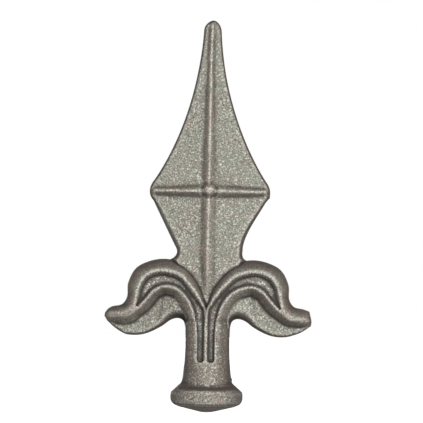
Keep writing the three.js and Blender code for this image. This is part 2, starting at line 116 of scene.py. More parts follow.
# Towards the tip the blade thins: its share at the very end, and the gain with the root of the
# distance from there
TIP_SHARE = 0.35
TIP_SHARE_GAIN = 0.45
UPPER_BEVEL = 0.45
LOWER_BEVEL = {
    -1: [(54, 1.0), (60, 1.5), (70, 1.4), (76, 0.8)],
    1: [(54, 1.1), (64, 1.2), (76, 0.8)],
}
MIDRIB_X = [(38, -0.6), (68, -0.5), (94, -0.35), (127, -0.3), (138, -0.05)]
MIDRIB_FOOT = {
    -1: [(40, 0.7), (46, 1.4), (57, 2.4), (94, 2.15), (112, 1.6), (127, 1.2), (138, 0.9)],
    1: [(40, 1.0), (46, 2.3), (57, 2.6), (68, 2.35), (94, 2.05), (112, 1.4), (127, 1.15), (138, 0.9)],
}
MIDRIB_RISE = [
    (42, 0.0), (46, 0.6), (50, 0.95), (57, 1.3), (68, 1.5), (94, 1.6), (112, 1.35), (127, 1.0),
    (138, 0.7),
]
RIB_CREST_HALF_WIDTH = 0.15
LEAST_RIB_FLANK = 0.1
# Above 1 the flank is steepest at its foot, at 1 it is straight
LEFT_FLANK_ROUNDNESS = 1.15
RIGHT_FLANK_ROUNDNESS = 0.95
# Cross rib: foot on the axis and at the corner, below and above its crest, and the share of its
# rise that it loses, late, on the way to the corner
CROSS_RIB_Z = 78.8
CROSS_RIB_REACH = 20.4
CROSS_RIB_FOOT = {"below": (2.1, 1.45), "above": (2.45, 1.25)}
CROSS_RIB_ROUNDNESS = 1.2
CROSS_RIB_RISE = 1.9
CROSS_RIB_DROP = 0.5
CROSS_RIB_DROP_POWER = 6
RIB_BLEND = 0.25
# Boss where the ribs cross, and the width and depth of the narrow hollow round it
BOSS_X = -0.2
BOSS_Z = 79.35
BOSS_RADIUS = 2.8
BOSS_TOP_RADIUS = 1.3
BOSS_RISE = 2.6
BOSS_MOAT = 0.5
BOSS_BLEND = 0.1

# Leaf lines, from the root in the stem over the arch to the nose of the curled tip, drawn for
# the right leaf as (distance from the axis, height) at the same stations
RIM_LINE = [
    (-1.1, 28), (-1.0, 35), (0.1, 39), (1.6, 45), (8, 52.4), (16.6, 54.5),
    (25, 51.8), (28.55, 46.2), (28.95, 40.9), (30.8, 38.05), (34, 37.3),
]
CREST_LINE = [
    (0, 28), (0, 36.3), (1.4, 39.4), (4.9, 44.4), (9.9, 49.15), (16.8, 50.75),
    (22.3, 49), (25, 45), (25.95, 40.8),
]
INNER_LINE = [
    (3.8, 28), (4.6, 34.5), (6.2, 38.9), (8.55, 42.0), (11.65, 44.05), (15.6, 44.75),
    (19.1, 43.2), (21.3, 40.8), (23.5, 38.3),
]
LOWER_LINE = [
    (6.4, 27), (7.95, 30.6), (8.8, 32.6), (10.7, 33.4), (13.3, 32.7), (16.5, 30.4),
    (20.3, 28.4), (23.6, 27.35), (27, 27.15), (30, 27.72),
]
# The two noses differ: the last points of rim, crest, inner and lower line, and the last
# widths of the slope
NOSE = {
    -1: {
        "rim": [(35.7, 36.4)],
        "crest": [(26.9, 37.4), (29.8, 35.2), (36.8, 34.9)],
        "inner": [(25.7, 36.3), (29.3, 34.2), (37.0, 33.9)],
        "lower": [(33.4, 29.85), (35.9, 32.1)],
        "slope": [3.2, 1.9],
    },
    1: {
        "rim": [(36.3, 36.5)],
        "crest": [(27.1, 36.9), (30.4, 34.3), (36.95, 33.7)],
        "inner": [(26.2, 35.8), (29.8, 33.4), (37.1, 32.9)],
        "lower": [(33.5, 29.05), (36.9, 31.3)],
        "slope": [2.3, 1.9],
    },
}
# The carved lines sit beside the axis, fully at the root and no longer from the top of the arch on
CARVING_OFFSET = -0.62
CARVING_OFFSET_SHARE = [1, 1, 1, 0.8, 0.15, 0, 0, 0, 0, 0, 0, 0]
# Widths at the stations: slope from the inner ridge down to the web, and rounded edge of the web
SLOPE_WIDTH = [3.2, 3.0, 2.8, 2.9, 3, 3.1, 3, 3, 3, 2.8]
WEB_EDGE_WIDTH = [0.3, 0.5, 2.2, 3.2, 2.9, 1.7, 1.1, 0.9, 0.8, 0.7, 0.7, 0.25]
RIM_ROUNDNESS = 1.5
SLOPE_ROUNDNESS = 1.15
EDGE_ROUNDNESS = 1.65

# Leaf half thicknesses at the same stations, and how much lower the web ends at its edge
CREST_HEIGHT = [7.1, 7.9, 7.7, 6.9, 6.2, 5.8, 5.6, 5.4, 5.2, 4.9, 4.4, 3.2]
INNER_HEIGHT = [5.4, 6.8, 7.0, 6.5, 5.8, 5.5, 5.3, 5.1, 5.0, 4.8, 4.3, 3.1]
WEB_HEIGHT = [2.8, 4.4, 4.6, 4.1, 3.3, 2.5, 2.1, 1.9, 1.8, 1.7, 1.6, 1.3]
WEB_FALL = 0.15
# The last stretch of a leaf, counted in stations, is rounded off
NOSE_LENGTH = {-1: 0.9, 1: 0.7}
# Rows drawn along a leaf: between rim and crest, from the rim to the inner ridge, and on the
# slope and on the edge of the web
RIM_ROWS = 6
RIDGE_ROWS = RIM_ROWS + 3
CONVEX_ROWS = 6
# What a row holds after the places across and up: half thickness, grain and painted shade
HALF, GRAIN, SHADE = 2, 3, 4

# Channels between crest and inner ridge, running down into the stem to a round end
OUTER_WALL = {"edge": 0.65, "slope": 1.3, "depth": 1.75}
INNER_WALL = {"edge": 0.35, "slope": 1.7, "depth": 1.4}
# Where crest and inner ridge come close, the walls leave at least this much between them
LEAST_CHANNEL = 0.2
# Down in the stem both walls have one steeper slope, and the outer one starts nearer its crest
STEM_WALL_SLOPE = 2.0
STEM_WALL_Z = (34, 42)
OUTER_EDGE_IN_STEM = 0.35
STEM_STATIONS = 3
WALL_BLEND = 0.3
FLOOR_BLEND = 0.35
CHANNEL_NOSE_STATION = 8.65
CHANNEL_BOTTOM_Z = 17.8
CHANNEL_ROUNDING = 0.3
CHANNEL_POINTS = 90
CHANNEL_END_POINTS = 9
# The channels lie within this distance from the axis and between these heights
CHANNEL_REACH = 29
CHANNEL_REACH_Z = (15, 52)
# Above this height, well clear of the surface, the steepness of the channels counts as none
CHANNEL_CLEAR = 14

# Height maps over the face
MAP_STEP = 0.1
MAP_X0 = -39.0
MAP_Z0 = -2.0
MAP_SHAPE = (781, 1441)
ROUNDING = 0.22
WIDE_ROUNDING = 4 * ROUNDING
BLEND = 0.18
OUTLINE_BLEND = 0.9
STEM_BLEND = 0.5
# Distance outside an outline up to which the map of its height still holds
KEPT_OUTSIDE = 0.4
# Value of a distance or a depth where a map isn't worked out
FAR_OUTSIDE = -5.0
# A leaf's map: stations, steps between two rows, every how many stations its outline has a
# point, and the place it stays within
LEAF_STATIONS = 1100
ROW_STEPS = 30
OUTLINE_STRIDE = 12
LEAF_PAST_AXIS = 3
LEAF_Z = (24, 58)
# Blurred counts below which a mean is taken from further away, or not at all
ENOUGH_COUNT = 0.05
LEAST_COUNT = 1e-3
LEAST_WIDE_COUNT = 1e-6

# Table of the distance to the stem's profile over radius and height
PROFILE_POINTS = 200
PROFILE_PAST_AXIS = -1.0
STEM_STEP = 0.1
STEM_TABLE_RADIUS = 18
STEM_TABLE_Z = (-3, 42)

# Mesh grid
CELL = 0.395
GRID_LOW = np.array([-38.6, -14.0, -1.2])
GRID_HIGH = np.array([38.6, 14.0, 141.2])
CELL_CORNERS = 8
# Points are moved onto the surface in rounds, each by no more than a share of a cell. In between
# they are evened out: moved by a share of the way to the mean of their neighbours.
SETTLE_ROUNDS = 2
SETTLE_PROBE = 0.02
SETTLE_REACH = 0.3
LEAST_SLOPE = 0.25
EVENING = 0.5

# Unevenness of the surface: feature width, height and seed, and the box it fills
RELIEF_NOISE = [(0.8, 0.05, 11), (2.6, 0.05, 12), (9.0, 0.06, 13)]
NOISE_LOW = np.array([-40.0, -16.0, -3.0])
NOISE_HIGH = np.array([40.0, 16.0, 143.0])
# Share of the unevenness that is left where the skin has no grain
SMOOTH_SHARE = 0.15
# Small burrs at the parting line: place, height, reach
BURRS = [
    ((12.9, -1.5, 7.4), 0.35, 0.6),
    ((8.9, -0.5, 11.8), 0.35, 0.5),
    ((21.3, -0.3, 76.9), 0.3, 0.5),
]

# Grain of the skin, from 0 for smooth to 1. The web's grain starts within a share of its width
# from the foot of the slope.
FIELD_GRAIN = 0.8
WEB_FOOT_GRAIN = 0.3
FLOOR_SHARE = 0.12
STEM_GRAIN = 0.2
CREST_GRAIN = 0.4
CHANNEL_GRAIN = 0.6
LEFT_FLANK_GRAIN = 0.25
RIGHT_FLANK_GRAIN = 0.5
GRAIN_LOSS_ON_RIBS = 1.6
# Over this distance from the blade's outline the grain sets in
GRAIN_FROM_EDGE = (0.3, 0.8)
NOSE_SMOOTH_STATIONS = 2.0
# The grain fades towards the tip between these heights
TIP_SMOOTH_Z = (112, 128)
TIP_GRAIN = 0.8
# Strength of pits, flecks and bumps on the stem and in the channels
STEM_SPECKLE = 0.7
CHANNEL_SPECKLE = 1.3

# Share of the normal facing front or back where painted slope shade starts, and is strongest
STEEP_FROM = (0.85, 0.5)
# How strong the painted shade on a steep slope is: on the outer rims of the leaves, on the
# edges of the webs, at the ends of the noses, on the stem, on the ribs and on the bevel of the blade
RIM_SHADE = 0.62
EDGE_SHADE = 1.55
NOSE_SHADE = 0.6
NOSE_SHADE_STATIONS = 0.7
STEM_SHADE = 1.15
RIB_SHADE = 0.6
BEVEL_SHADE = 1.0

# A crest is rubbed, and a hollow gets painted shade, by how far it stands out of its surroundings or
# below them
BULGE_ROUNDS = 5
WORN_FULL = 0.12
HOLLOW_SHADE_FULL = 0.1
EDGE_KEEPS_SKIN = (0.7, 1.6)
BOSS_WORN_RADIUS = 2.0
# Towards the V the crest of the midrib is less rubbed
LOW_RIB_REACH = 2.5
LOW_RIB_Z = (43, 62)
LOW_RIB_WORN = 0.15
# How strong the painted hollow shade is in the channels on the stem and on the blade, which starts at
# this height
CHANNEL_HOLLOW_SHADE = 0.85
BLADE_HOLLOW_SHADE = 0.62
BLADE_FROM_Z = 57
# A point counts as the stem's within this distance from it, and as the channel's floor from
# this share of the inner wall's depth
STEM_REACH = 0.3
CHANNEL_FLOOR_SHARE = 0.6

# Steel
FIELD_GREEN = (0.58, 0.63, 0.56, 1)
FIELD_WARM = (0.63, 0.61, 0.53, 1)
SKIN_WARM = (0.43, 0.36, 0.305, 1)
SKIN_DARK = (0.35, 0.29, 0.26, 1)
# Painted shade: the dark colours that steep slopes are given, and how strongly they are laid on
PAINTED_SLOPE_SHADE_BROWN = (0.265, 0.205, 0.185, 1)
PAINTED_SLOPE_SHADE_GREEN = (0.195, 0.19, 0.16, 1)
PAINTED_SLOPE_SHADE_STRENGTH = 0.74
PATCH_GREEN = (0.97, 1.0, 0.97, 1)
PATCH_BROWN = (1.0, 0.95, 0.945, 1)
PIT_COLOUR = (0.15, 0.14, 0.12, 1)
FLECK_COLOUR = (0.95, 0.95, 0.90, 1)
WORN_COLOUR = (0.87, 0.85, 0.79, 1)
# Painted shade in hollows and creases: its colour and how strongly it is laid on
PAINTED_HOLLOW_SHADE_COLOUR = (0.10, 0.088, 0.083, 1)
PAINTED_HOLLOW_SHADE_STRENGTH = 0.93
METALLIC = 0.9
BUMP_MM = 0.26
# Noises of the steel: feature width in mm, octaves and roughness
FINE_NOISE = (0.5, 3.0, 0.65)
FLECK_NOISE = (0.6, 1.0, 0.5)
CLOUD_NOISE = (9.0, 3.0, 0.6)
MOTTLE_NOISE = (3.0, 4.0, 0.65)
# Levels of a noise between which a colour comes in
CLOUD_LEVELS = (0.35, 0.68)
PIT_LEVELS = (0.6, 0.36)
FLECK_LEVELS = (0.54, 0.68)
# Painted slope shade: levels of the mottle between its green and its brown
PAINTED_SLOPE_SHADE_LEVELS = (0.38, 0.62)
WORN_LEVELS = (0.42, 0.58)
PATCH_LEVELS = (0.36, 0.64)
ROUGH_LEVELS = (0.3, 0.7)
# What comes out at the low and at the high end: pits, flecks and bumps by speckle, the rest by
# the fine noise
PIT_SHARE = (0.45, 1.0)
FLECK_SHARE = (0.25, 0.95)
BUMP_SHARE = (0.2, 1.0)
WORN_SHARE = (0.1, 1.0)
ROUGHNESS = (0.66, 0.84)

# Camera: square on, from a metre away, rolled a little as the photo is
PHOTO_WIDTH_MM = 151.27
CAMERA_DISTANCE_MM = 1000.0
CAMERA_AIM = (0.66, 71.7)
CAMERA_ROLL = math.radians(1.0)
SENSOR_MM = 36.0

# Lights in metres and watts: name, place, width, power. All are aimed at the middle of the spike.
LIGHTS = [
    ("key", (0.21, -1.08, 0.07), 0.4, 9.2),
    ("key_above", (0.0, -0.84, 0.78), 0.4, 2.45),
    ("fill_left", (-1.1, 0.0, 0.07), 0.4, 2.15),
    ("fill_right", (1.06, -0.28, 0.07), 0.4, 2.0),
    ("back", (-0.21, 1.08, 0.07), 0.4, 9.2),
]
LIGHT_AIM = (0, 0, 0.07)
# Light that a pale floor throws up on the underside of the collar
BOUNCE_WIDTH = 0.026
BOUNCE_POWER = 0.0004
FLOOR_HALF_SIZE = (0.6, 0.6)
FLOOR_DROP = 0.0003
FLOOR_COLOUR = (0.9, 0.9, 0.9, 1)
FLOOR_GLOW = 0.95
WHITE = (1, 1, 1, 1)
BACKDROP_GLOW = 1.0

NEAR_ZERO = 1e-12
FAR = 1e9
# Indices into a table stay this far below its size, so that the next entry exists
LAST_CELL = 1.001
# Colour sockets of the mix node
MIX_A, MIX_B, MIX_RESULT = 6, 7, 2


def ramp(value, low, high):
    """0 up to low, 1 from high on, straight between."""
    return np.clip((value - low) / (high - low), 0, 1)


def spline(points, at):
    """Uniform Catmull-Rom through points, at is counted in points."""
    p = np.asarray(points, float)
    flat = p.ndim == 1
    if flat:
        p = p[:, None]
    last = len(p) - 1
    i = np.clip(np.floor(at).astype(int), 0, last - 1)
    w = (at - i)[:, None]
    p0, p1 = p[np.maximum(i - 1, 0)], p[i]
    p2, p3 = p[i + 1], p[np.minimum(i + 2, last)]
    v0, v1 = (p2 - p0) / 2, (p3 - p1) / 2
    out = (2 * p1 - 2 * p2 + v0 + v1) * w**3 + (3 * p2 - 3 * p1 - 2 * v0 - v1) * w**2
    out = out + v0 * w + p1
    return out[:, 0] if flat else out


def left_normal(points, at):
    """Unit normals to the left of the spline through points."""
    last = len(points) - 1
    step = 1e-3
    way = spline(points, np.minimum(at + step, last)) - spline(points, np.maximum(at - step, 0))
    way /= np.linalg.norm(way, axis=1)[:, None]
    return np.stack([-way[:, 1], way[:, 0]], 1)


def bezier(points, count):
    """Points on the cubic curve with four control points."""
    p0, p1, p2, p3 = (np.array(p, float) for p in points)
    s = np.linspace(0, 1, count)[:, None]
    return (1 - s) ** 3 * p0 + 3 * (1 - s) ** 2 * s * p1 + 3 * (1 - s) * s**2 * p2 + s**3 * p3


def from_pairs(pairs, key):
    """Value at key, straight between the pairs of key and value."""
    keys, values = zip(*pairs)
    return np.interp(key, keys, values)


def by_side(left_of, x, per_side):
    """The left value where x is left of left_of, otherwise the right one."""
    return np.where(x < left_of, per_side[-1], per_side[1])


def blur(image, radius_mm):
    """Gaussian blur by Fourier transform; the maps are empty at their borders."""
    sigma = radius_mm / MAP_STEP
    fx = np.fft.fftfreq(image.shape[0])[:, None]
    fz = np.fft.rfftfreq(image.shape[1])[None, :]
    gain = np.exp(-2 * (math.pi * sigma) ** 2 * (fx**2 + fz**2))
    return np.fft.irfft2(np.fft.rfft2(image) * gain, s=image.shape)


def smooth_max(a, b, width):
    """The larger of two values, with a round passage where they differ by less than width."""
    blend = np.clip(0.5 + (a - b) / (2 * width), 0, 1)
    return b + (a - b) * blend + width * blend * (1 - blend)


def map_axes():
    x = MAP_X0 + MAP_STEP * np.arange(MAP_SHAPE[0])
    z = MAP_Z0 + MAP_STEP * np.arange(MAP_SHAPE[1])
    return x[:, None], z[None, :]


def bilinear(table, u, v):
    """Value of a table between its entries, at indices that need not be whole."""
    u = np.clip(u, 0, table.shape[0] - LAST_CELL)
    v = np.clip(v, 0, table.shape[1] - LAST_CELL)
    i, j = u.astype(int), v.astype(int)
    fu, fv = u - i, v - j
    low = table[i, j] * (1 - fu) + table[i + 1, j] * fu
    high = table[i, j + 1] * (1 - fu) + table[i + 1, j + 1] * fu
    return low * (1 - fv) + high * fv


def sample(image, x, z):
    """Value of a map at places on the face."""
    return bilinear(image, (x - MAP_X0) / MAP_STEP, (z - MAP_Z0) / MAP_STEP)


def segment_distance_squared(x, z, start, end):
    (x0, z0), (x1, z1) = start, end
    ex, ez = x1 - x0, z1 - z0
    along = np.clip(((x - x0) * ex + (z - z0) * ez) / max(ex * ex + ez * ez, NEAR_ZERO), 0, 1)
    return (x - x0 - along * ex) ** 2 + (z - z0 - along * ez) ** 2


def line_distance(x, z, line):
    """Distance to an open polyline."""
    near = np.full(x.shape, FAR)
    for start, end in zip(line[:-1], line[1:]):
        near = np.minimum(near, segment_distance_squared(x, z, start, end))
    return np.sqrt(near)


def polygon_distance(x, z, polygon):
    """Signed distance to a closed polygon, positive inside."""
    near = np.full(x.shape, FAR)
    inside = np.zeros(x.shape, bool)
    for start, end in zip(polygon, np.roll(polygon, -1, axis=0)):
        near = np.minimum(near, segment_distance_squared(x, z, start, end))
        (x0, z0), (x1, z1) = start, end
        if z1 != z0:
            crosses = (z0 > z) != (z1 > z)
            inside ^= crosses & (x < x0 + (z - z0) * (x1 - x0) / (z1 - z0))
    return np.where(inside, 1, -1) * np.sqrt(near)


def leaf_lines(side):
    nose = NOSE[side]
    return {
        "rim": RIM_LINE + nose["rim"],
        "crest": CREST_LINE + nose["crest"],
        "inner": INNER_LINE + nose["inner"],
        "lower": LOWER_LINE + nose["lower"],
        "slope": SLOPE_WIDTH + nose["slope"],
    }


def carving_shift(at):
    return CARVING_OFFSET * spline(CARVING_OFFSET_SHARE, at)


def convex(start, end, roundness, count):
    """Rows between two rows, leaving the start level and reaching the end steeply."""
    made = []
    for share in np.linspace(0, 1, count + 2)[1:-1]:
        row = start + (end - start) * share
        row[:, HALF] = end[:, HALF] + (start[:, HALF] - end[:, HALF]) * (1 - share**roundness)
        made.append(row)
    return made


def leaf_rows(side, at):
    """Place, half thickness, grain and shade along lines across the leaf at stations at."""
    lines = leaf_lines(side)
    last = len(lines["rim"]) - 1
    rim, crest = spline(lines["rim"], at), spline(lines["crest"], at)
    inner, lower = spline(lines["inner"], at), spline(lines["lower"], at)
    foot = inner - left_normal(lines["inner"], at) * spline(lines["slope"], at)[:, None]
    web = lower + left_normal(lines["lower"], at) * spline(WEB_EDGE_WIDTH, at)[:, None]
    shift = carving_shift(at)
    round_off = np.sqrt(1 - (1 - np.clip((last - at) / NOSE_LENGTH[side], 0, 1)) ** 2)
    to_nose = np.clip((last - at) / NOSE_SHADE_STATIONS, NOSE_SHADE, 1)
    ridge_grain = CREST_GRAIN * np.clip((last - at) / NOSE_SMOOTH_STATIONS, 0, 1)

    def row(place, height, offset, grain, shade):
        half = PARTING_LAND + (height - PARTING_LAND) * round_off
        x = side * place[:, 0] + offset
        return np.stack([x, place[:, 1], half, grain + 0 * at, shade * to_nose], 1)

    rim_row = row(rim, PARTING_LAND + 0 * at, shift, 0.0, RIM_SHADE)
    crest_row = row(crest, spline(CREST_HEIGHT, at), shift, ridge_grain, RIM_SHADE)
    inner_row = row(inner, spline(INNER_HEIGHT, at), shift, ridge_grain, 1.0)
    foot_row = row(foot, spline(WEB_HEIGHT, at), shift, WEB_FOOT_GRAIN, 1.0)
    web_row = row(web, spline(WEB_HEIGHT, at) - WEB_FALL, 0, FIELD_GRAIN, EDGE_SHADE)
    floor_row = foot_row + (web_row - foot_row) * FLOOR_SHARE
    floor_row[:, GRAIN] = FIELD_GRAIN
    lower_row = row(lower, PARTING_LAND + 0 * at, 0, 0.0, EDGE_SHADE)
    return [
        rim_row,
        *convex(crest_row, rim_row, RIM_ROUNDNESS, RIM_ROWS)[::-1],
        crest_row,
        inner_row,
        *convex(inner_row, foot_row, SLOPE_ROUNDNESS, CONVEX_ROWS),
        foot_row,
        floor_row,
        web_row,
        *convex(web_row, lower_row, EDGE_ROUNDNESS, CONVEX_ROWS),
        lower_row,
    ]


def channel_edges(side):
    """Outer and inner edge of the channel over the face, down to its round end in the stem."""
    lines = leaf_lines(side)
    at = np.linspace(0, CHANNEL_NOSE_STATION, CHANNEL_POINTS)
    shift = carving_shift(at)
    crest, inner = spline(lines["crest"], at), spline(lines["inner"], at)
    across = inner - crest
    size = np.linalg.norm(across, axis=1)[:, None]
    room = np.minimum(1, size / (OUTER_WALL["edge"] + INNER_WALL["edge"] + LEAST_CHANNEL))
    outer_width = np.interp(at, (0, STEM_STATIONS), (OUTER_EDGE_IN_STEM, OUTER_WALL["edge"]))
    outer_edge = crest + across / size * outer_width[:, None] * room
    inner_edge = inner - across / size * INNER_WALL["edge"] * room
    radius = (inner_edge[0, 0] - outer_edge[0, 0]) / 2
    middle = outer_edge[0, 0] + radius
    edges = []
    for edge, turn in ((outer_edge, (math.pi, math.pi / 2)), (inner_edge, (0, math.pi / 2))):
        turn = np.linspace(*turn, CHANNEL_END_POINTS)
        end_x = middle + radius * np.cos(turn)
        end_z = CHANNEL_BOTTOM_Z + radius - radius * np.sin(turn)
        whole = np.concatenate([edge[::-1], np.stack([end_x, end_z], 1)])
        moved = np.concatenate([shift[::-1], np.full(len(turn), shift[0])])
        edges.append(np.stack([side * whole[:, 0] + moved, whole[:, 1]], 1))
    return edges


def channel_depth():
    """Depth of the channels below the ridges; negative outside them."""
    x, z = (np.broadcast_to(a, MAP_SHAPE) for a in map_axes())
    low, high = CHANNEL_REACH_Z
    reach = (np.abs(x) < CHANNEL_REACH) & (z > low) & (z < high)
    x, z = x[reach], z[reach]
    depth = np.full(x.shape, FAR_OUTSIDE)

    def steeper(slope):
        """The walls steepen from the leaf down into the stem."""
        return np.interp(z, STEM_WALL_Z, (STEM_WALL_SLOPE, slope))

    for side in (-1, 1):
        outer, inner = channel_edges(side)
        inside = polygon_distance(x, z, np.concatenate([outer, inner[::-1]])) > 0
        to_outer, to_inner = line_distance(x, z, outer), line_distance(x, z, inner)
        share = to_outer / (to_outer + to_inner)
        floor = OUTER_WALL["depth"] + (INNER_WALL["depth"] - OUTER_WALL["depth"]) * share
        outer_wall = steeper(OUTER_WALL["slope"]) * to_outer
        inner_wall = steeper(INNER_WALL["slope"]) * to_inner
        walls = -smooth_max(-outer_wall, -inner_wall, WALL_BLEND)
        cut = -smooth_max(-walls, -floor, FLOOR_BLEND)
        outside = -OUTER_WALL["slope"] * np.minimum(to_outer, to_inner)
        depth = np.maximum(depth, np.where(inside, cut, outside))
    made = np.full(MAP_SHAPE, FAR_OUTSIDE)
    made[reach] = depth
    return made


def spread_rows(rows):
    """Maps of half thickness, grain and shade, from points spread between the rows."""
    between = np.linspace(0, 1, ROW_STEPS, endpoint=False)[:, None, None]
    dense = [rows[i] + (rows[i + 1] - rows[i]) * between for i in range(len(rows) - 1)]
    points = np.concatenate([d.reshape(-1, rows.shape[2]) for d in dense] + [rows[-1]])
    i = np.rint((points[:, 0] - MAP_X0) / MAP_STEP).astype(int)
    j = np.rint((points[:, 1] - MAP_Z0) / MAP_STEP).astype(int)
    cell = i * MAP_SHAPE[1] + j
    size = MAP_SHAPE[0] * MAP_SHAPE[1]
    count = np.bincount(cell, minlength=size).reshape(MAP_SHAPE).astype(float)
    seen = count > 0
    weight = blur(seen.astype(float), ROUNDING)
    wide_weight = blur(seen.astype(float), WIDE_ROUNDING)
    layers = []
    for column in (HALF, GRAIN, SHADE):
        total = np.bincount(cell, weights=points[:, column], minlength=size).reshape(MAP_SHAPE)
        mean = np.where(seen, total / np.maximum(count, 1), 0)
        close = blur(mean, ROUNDING) / np.maximum(weight, LEAST_COUNT)
        wide = blur(mean, WIDE_ROUNDING) / np.maximum(wide_weight, LEAST_WIDE_COUNT)
        layers.append(np.where(weight > ENOUGH_COUNT, close, wide))
    return layers


def leaf_maps(side):
    """Half thickness, grain, shade and inside distance of one leaf over the face."""
    last = len(leaf_lines(side)["rim"]) - 1
    rows = np.stack(leaf_rows(side, np.linspace(0, last, LEAF_STATIONS)))
    nose_end = rows[1:RIDGE_ROWS, -1, :2]
    rim, lower = rows[0][::OUTLINE_STRIDE, :2], rows[-1][::-OUTLINE_STRIDE, :2]
    outline = np.concatenate([rim, nose_end, lower])
    x, z = (np.broadcast_to(a, MAP_SHAPE) for a in map_axes())
    inside = np.full(MAP_SHAPE, FAR_OUTSIDE)
    reach = (x * side > -LEAF_PAST_AXIS) & (z > LEAF_Z[0]) & (z < LEAF_Z[1])
    inside[reach] = polygon_distance(x[reach], z[reach], outline)
    return *spread_rows(rows), inside


def blade_side(side):
    """Half width and its slope against height on one side."""
    stretches = [
        bezier(BLADE_TIP[side], CURVE_POINTS["tip"]),
        bezier(UPPER_FLANK[side], CURVE_POINTS["upper"]),
        bezier(CORNER, CURVE_POINTS["corner"]),
        bezier(LOWER_FLANK[side], CURVE_POINTS["lower"]),
        bezier(NECK_FLARE[side], CURVE_POINTS["neck"]),
        np.array(BLADE_ROOT, float),
    ]
    points = np.concatenate([[(0.0, TIP_Z)], *stretches])
    order = np.argsort(points[:, 1], kind="stable")
    _, z = map_axes()
    half = np.interp(z[0], points[order, 1], points[order, 0], left=0, right=0)
    half[z[0] > TIP_Z] = -(z[0][z[0] > TIP_Z] - TIP_Z)
    slope = np.gradient(half, MAP_STEP)
    return half[None, :], slope[None, :]


def blade_inside(x, z):
    """Distance to the blade's outline, negative outside."""
    x = x - AXIS_LEAN * ramp(z, *LEAN_Z)
    inside = np.full(MAP_SHAPE, FAR_OUTSIDE)
    for side in (-1, 1):
        half, slope = blade_side(side)
        distance = (half - side * x) / np.sqrt(1 + slope**2)
        inside = np.where(side * x >= 0, distance, inside)
    return np.minimum(inside, z - BLADE_ROOT[-1][1])


def rib_section(away, foot, roundness):
    """Height of a rib over its width: 1 on its narrow crest, 0 from its foot on."""
    flank = np.maximum(foot - RIB_CREST_HALF_WIDTH, LEAST_RIB_FLANK)
    return 1 - np.clip((away - RIB_CREST_HALF_WIDTH) / flank, 0, 1) ** roundness


def midrib(x, z, taper):
    """Relief of the midrib, whose two flanks differ."""
    rib_x = from_pairs(MIDRIB_X, z)
    foot = by_side(rib_x, x, {side: from_pairs(MIDRIB_FOOT[side], z) for side in (-1, 1)})
    roundness = by_side(rib_x, x, {-1: LEFT_FLANK_ROUNDNESS, 1: RIGHT_FLANK_ROUNDNESS})
    return from_pairs(MIDRIB_RISE, z) * taper * rib_section(np.abs(x - rib_x), foot, roundness)


def cross_rib(x, z):
    """Relief of the cross rib, narrower and lower towards the corners."""
    share = np.clip(np.abs(x) / CROSS_RIB_REACH, 0, 1)
    below, above = (np.interp(share, (0, 1), CROSS_RIB_FOOT[part]) for part in ("below", "above"))
    foot = np.where(z < CROSS_RIB_Z, below, above)
    section = rib_section(np.abs(z - CROSS_RIB_Z), foot, CROSS_RIB_ROUNDNESS)
    height = 1 - CROSS_RIB_DROP * share**CROSS_RIB_DROP_POWER
    return CROSS_RIB_RISE * section * height * (share < 1)


def with_boss(ribs, x, z):
    """The relief of the ribs with the boss where they cross, in its narrow hollow."""
    away = np.sqrt((x - BOSS_X) ** 2 + (z - BOSS_Z) ** 2)
    boss = np.clip((BOSS_RADIUS - away) / (BOSS_RADIUS - BOSS_TOP_RADIUS), 0, 1)
    moat = np.clip(1 - np.abs(away - BOSS_RADIUS) / BOSS_MOAT, 0, 1)
    return smooth_max(ribs - BOSS_MOAT * moat, BOSS_RISE * boss, BOSS_BLEND)


def blade_maps():
    """Half thickness, grain, shade and inside distance of the blade over the face."""
    x, z = map_axes()
    inside = blade_inside(x, z)
    taper = np.clip(TIP_SHARE + np.sqrt(np.maximum(0, TIP_Z - z)) * TIP_SHARE_GAIN, 0, 1)
    field = (from_pairs(FIELD_HALF_THICKNESS, z) - FIELD_FALL * np.abs(x)) * taper
    ribs = with_boss(smooth_max(midrib(x, z, taper), cross_rib(x, z), RIB_BLEND), x, z)
    bevel = by_side(0, x, {side: from_pairs(LOWER_BEVEL[side], z) for side in (-1, 1)})
    bevel = np.where(z > CROSS_RIB_Z, UPPER_BEVEL, bevel)
    edge = PARTING_LAND + (field - PARTING_LAND) * np.clip(inside / bevel, 0, 1)
    height = np.where(inside < bevel, np.minimum(edge, field + ribs), field + ribs)
    solid = (inside > -KEPT_OUTSIDE).astype(float)
    weight = np.maximum(blur(solid, ROUNDING), LEAST_COUNT)
    height = blur(height * solid, ROUNDING) / weight
    rib_grain = by_side(from_pairs(MIDRIB_X, z), x, {-1: LEFT_FLANK_GRAIN, 1: RIGHT_FLANK_GRAIN})
    grain = FIELD_GRAIN * ramp(inside, *GRAIN_FROM_EDGE)
    grain = grain * np.clip(1 - GRAIN_LOSS_ON_RIBS * ribs, rib_grain, 1)
    shade = np.where(inside < bevel, BEVEL_SHADE, RIB_SHADE)
    return height, grain, shade, inside


def stem_outline():
    """Outline of the stem over radius and height, closed beyond the axis."""
    rings = np.arange(len(STEM_RINGS))
    fine = np.linspace(0, rings[-1], PROFILE_POINTS)
    profile = zip(np.interp(fine, rings, RING_WIDTH), np.interp(fine, rings, RING_Z))
    return np.array([(PROFILE_PAST_AXIS, 0.0), *profile, (PROFILE_PAST_AXIS, RING_Z[-1])])


def section_radius(x, y, z):
    """Radius of the stem's section through a point: round, and with cheeks below the leaves."""
    across, out = np.abs(x), np.abs(y)
    cheek = (across + out) / by_side(0, x, CHEEK_SHOULDER)
    block = smooth_max(smooth_max(across, out, CHEEK_ROUNDING), cheek, CHEEK_ROUNDING)
    share = ramp(z, *CHEEK_Z)
    return np.hypot(across, out) * (1 - share) + block * share


